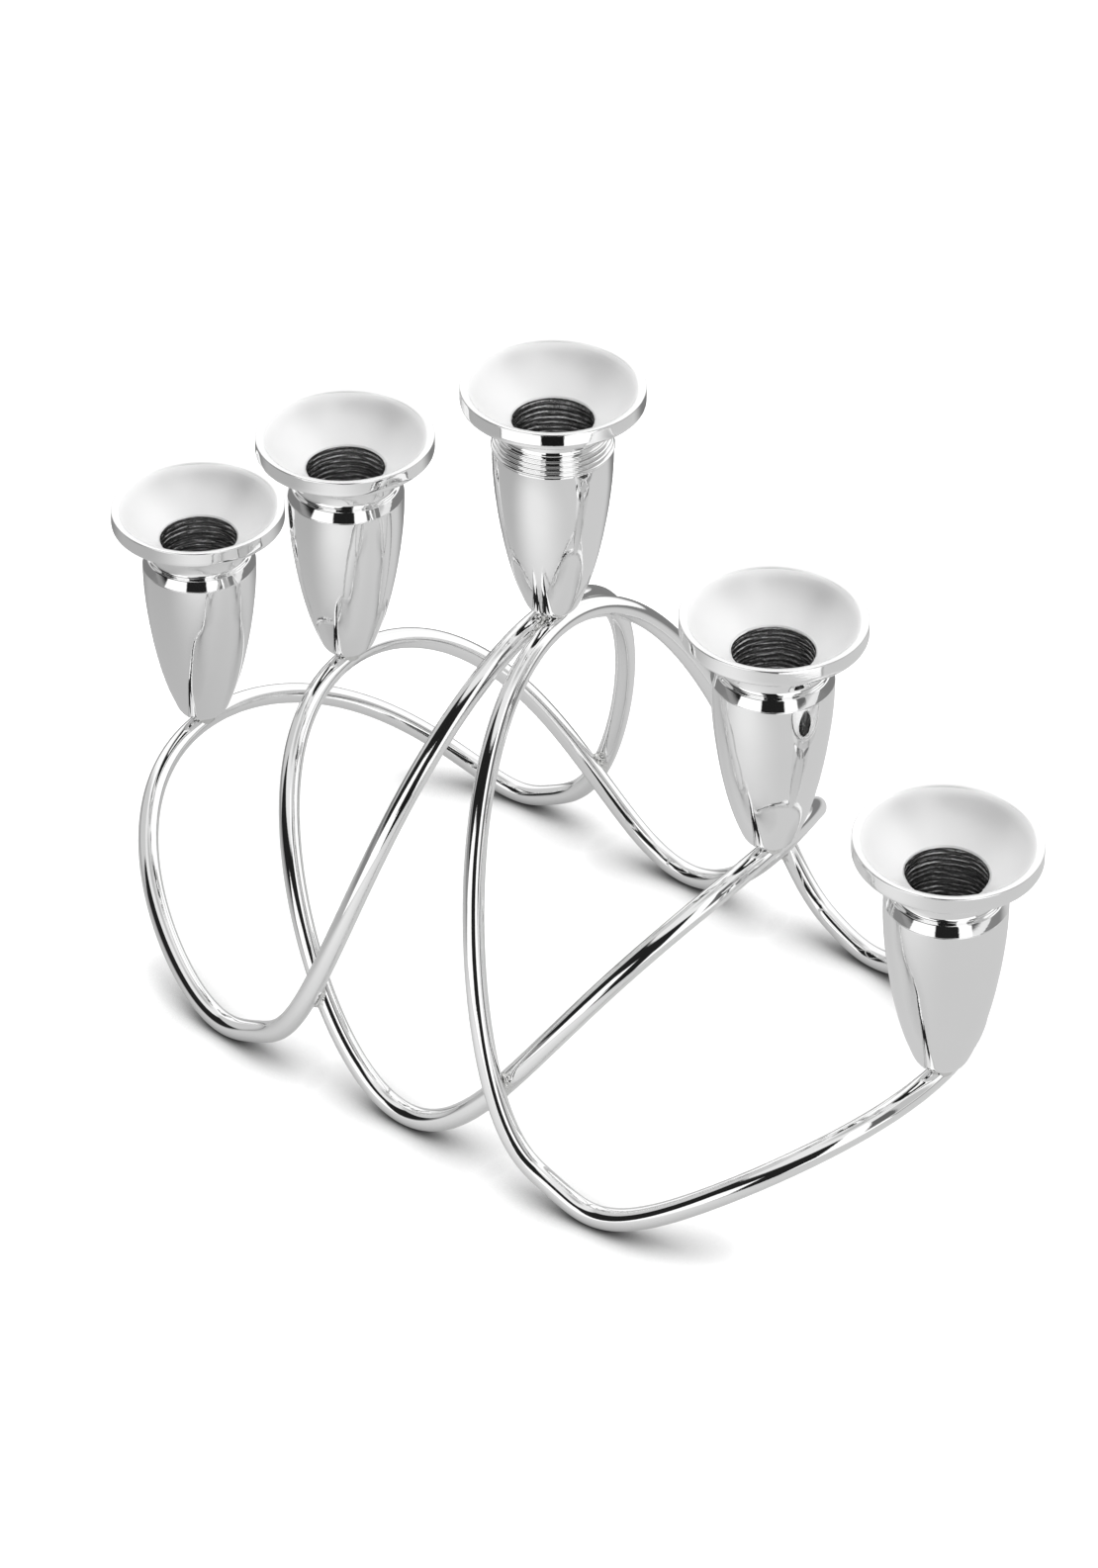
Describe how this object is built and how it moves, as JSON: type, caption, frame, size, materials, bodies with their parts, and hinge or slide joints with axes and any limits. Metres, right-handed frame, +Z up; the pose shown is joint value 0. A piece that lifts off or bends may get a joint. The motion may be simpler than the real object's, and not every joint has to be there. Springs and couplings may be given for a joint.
{
  "type": "candelabrum",
  "caption": "Table candelabrum of bent polished rod rings brazed where they cross, with tulip-shaped candle cups on the crests, each with a flared drip dish.",
  "frame": {"origin": "middle of the object, on the plane the six feet stand on", "axes": "+X along the row of candle cups, +Y to the back, +Z up"},
  "size_m": [0.306, 0.1424, 0.197],
  "materials": {
    "bent_rod": "mirror-polished silver-coloured plate",
    "cup_body": "mirror-polished silver-coloured plate",
    "nozzle": "mirror-polished outside, satin dish, rough turned bore",
    "braze": "polished over, slightly lumpy",
    "pin": "plain drawn wire"
  },
  "bodies": {
    "frame": {"rod_left": "bent_rod", "rod_middle": "bent_rod", "rod_right": "bent_rod", "crossing_braze_front_left": "braze", "crossing_braze_front_right": "braze", "crossing_braze_back_left": "braze", "crossing_braze_back_right": "braze", "crest_braze_centre": "braze", "seat_braze_left_outer": "braze", "seat_braze_left_inner": "braze", "seat_braze_centre": "braze", "seat_braze_right_inner": "braze", "seat_braze_right_outer": "braze", "cup_left_outer": "cup_body", "cup_left_inner": "cup_body", "cup_centre": "cup_body", "cup_right_inner": "cup_body", "cup_right_outer": "cup_body", "locating_pins": "pin"},
    "nozzle_left_outer_body": {"nozzle_left_outer": "nozzle"},
    "nozzle_left_inner_body": {"nozzle_left_inner": "nozzle"},
    "nozzle_centre_body": {"nozzle_centre": "nozzle"},
    "nozzle_right_inner_body": {"nozzle_right_inner": "nozzle"},
    "nozzle_right_outer_body": {"nozzle_right_outer": "nozzle"}
  },
  "joints": [
    {"name": "nozzle_left_outer_lift", "type": "slide", "parent": "frame", "child": "nozzle_left_outer_body", "axis": [0, 0, 1], "range_m": [0, 0.02]},
    {"name": "nozzle_left_inner_lift", "type": "slide", "parent": "frame", "child": "nozzle_left_inner_body", "axis": [0, 0, 1], "range_m": [0, 0.02]},
    {"name": "nozzle_centre_lift", "type": "slide", "parent": "frame", "child": "nozzle_centre_body", "axis": [0, 0, 1], "range_m": [0, 0.02]},
    {"name": "nozzle_right_inner_lift", "type": "slide", "parent": "frame", "child": "nozzle_right_inner_body", "axis": [0, 0, 1], "range_m": [0, 0.02]},
    {"name": "nozzle_right_outer_lift", "type": "slide", "parent": "frame", "child": "nozzle_right_outer_body", "axis": [0, 0, 1], "range_m": [0, 0.02]}
  ]
}
